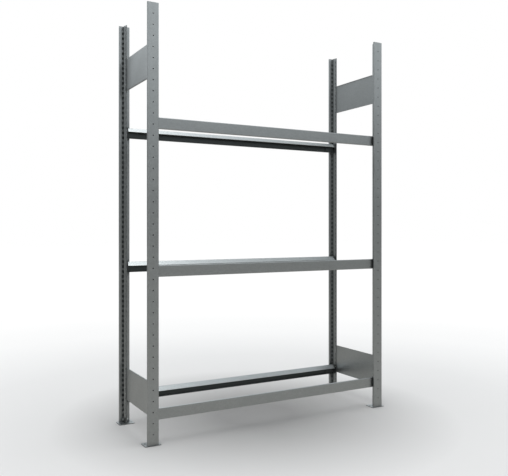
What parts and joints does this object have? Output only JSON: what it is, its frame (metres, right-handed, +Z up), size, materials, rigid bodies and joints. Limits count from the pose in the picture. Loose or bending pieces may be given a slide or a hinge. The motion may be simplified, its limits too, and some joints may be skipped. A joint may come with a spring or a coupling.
{
  "type": "tyre storage rack",
  "caption": "Free-standing boltless steel rack that stores upright tyres on pairs of sloped beams hooked into slotted T-section uprights.",
  "frame": {"origin": "on the floor, at the centre of the rack's footprint", "axes": "+X along the width to the right as seen from the front, +Y from front to back, +Z up"},
  "size_m": [1.378, 0.432, 2],
  "materials": {
    "galvanised_steel": "matt grey galvanised sheet",
    "zinc_fasteners": "bright zinc plated"
  },
  "bodies": {
    "frame": {"upright_front_left": "galvanised_steel", "foot_plate_front_left": "galvanised_steel", "foot_bolt_front_left": "zinc_fasteners", "foot_nut_front_left": "zinc_fasteners", "upright_front_right": "galvanised_steel", "foot_plate_front_right": "galvanised_steel", "foot_bolt_front_right": "zinc_fasteners", "foot_nut_front_right": "zinc_fasteners", "upright_rear_left": "galvanised_steel", "foot_plate_rear_left": "galvanised_steel", "foot_bolt_rear_left": "zinc_fasteners", "foot_nut_rear_left": "zinc_fasteners", "upright_rear_right": "galvanised_steel", "foot_plate_rear_right": "galvanised_steel", "foot_bolt_rear_right": "zinc_fasteners", "foot_nut_rear_right": "zinc_fasteners", "side_panel_upper_left": "galvanised_steel", "panel_rivet_upper_left_front_low": "zinc_fasteners", "panel_rivet_upper_left_front_high": "zinc_fasteners", "panel_rivet_upper_left_rear_low": "zinc_fasteners", "panel_rivet_upper_left_rear_high": "zinc_fasteners", "side_panel_upper_right": "galvanised_steel", "panel_rivet_upper_right_front_low": "zinc_fasteners", "panel_rivet_upper_right_front_high": "zinc_fasteners", "panel_rivet_upper_right_rear_low": "zinc_fasteners", "panel_rivet_upper_right_rear_high": "zinc_fasteners", "side_panel_lower_left": "galvanised_steel", "panel_rivet_lower_left_front_low": "zinc_fasteners", "panel_rivet_lower_left_front_high": "zinc_fasteners", "panel_rivet_lower_left_rear_low": "zinc_fasteners", "panel_rivet_lower_left_rear_high": "zinc_fasteners", "side_panel_lower_right": "galvanised_steel", "panel_rivet_lower_right_front_low": "zinc_fasteners", "panel_rivet_lower_right_front_high": "zinc_fasteners", "panel_rivet_lower_right_rear_low": "zinc_fasteners", "panel_rivet_lower_right_rear_high": "zinc_fasteners"},
    "beam_low_front": {"tyre_beam_low_front": "galvanised_steel", "hook_bracket_low_front_left": "galvanised_steel", "hook_bracket_low_front_right": "galvanised_steel"},
    "beam_low_rear": {"tyre_beam_low_rear": "galvanised_steel", "hook_bracket_low_rear_left": "galvanised_steel", "hook_bracket_low_rear_right": "galvanised_steel"},
    "beam_middle_front": {"tyre_beam_middle_front": "galvanised_steel", "hook_bracket_middle_front_left": "galvanised_steel", "hook_bracket_middle_front_right": "galvanised_steel"},
    "beam_middle_rear": {"tyre_beam_middle_rear": "galvanised_steel", "hook_bracket_middle_rear_left": "galvanised_steel", "hook_bracket_middle_rear_right": "galvanised_steel"},
    "beam_top_front": {"tyre_beam_top_front": "galvanised_steel", "hook_bracket_top_front_left": "galvanised_steel", "hook_bracket_top_front_right": "galvanised_steel"},
    "beam_top_rear": {"tyre_beam_top_rear": "galvanised_steel", "hook_bracket_top_rear_left": "galvanised_steel", "hook_bracket_top_rear_right": "galvanised_steel"}
  },
  "joints": [
    {"name": "lift_low_front", "type": "slide", "parent": "frame", "child": "beam_low_front", "axis": [0, 0, 1], "range_m": [0, 0.009]},
    {"name": "lift_low_rear", "type": "slide", "parent": "frame", "child": "beam_low_rear", "axis": [0, 0, 1], "range_m": [0, 0.009]},
    {"name": "lift_middle_front", "type": "slide", "parent": "frame", "child": "beam_middle_front", "axis": [0, 0, 1], "range_m": [0, 0.009]},
    {"name": "lift_middle_rear", "type": "slide", "parent": "frame", "child": "beam_middle_rear", "axis": [0, 0, 1], "range_m": [0, 0.009]},
    {"name": "lift_top_front", "type": "slide", "parent": "frame", "child": "beam_top_front", "axis": [0, 0, 1], "range_m": [0, 0.009]},
    {"name": "lift_top_rear", "type": "slide", "parent": "frame", "child": "beam_top_rear", "axis": [0, 0, 1], "range_m": [0, 0.009]}
  ]
}
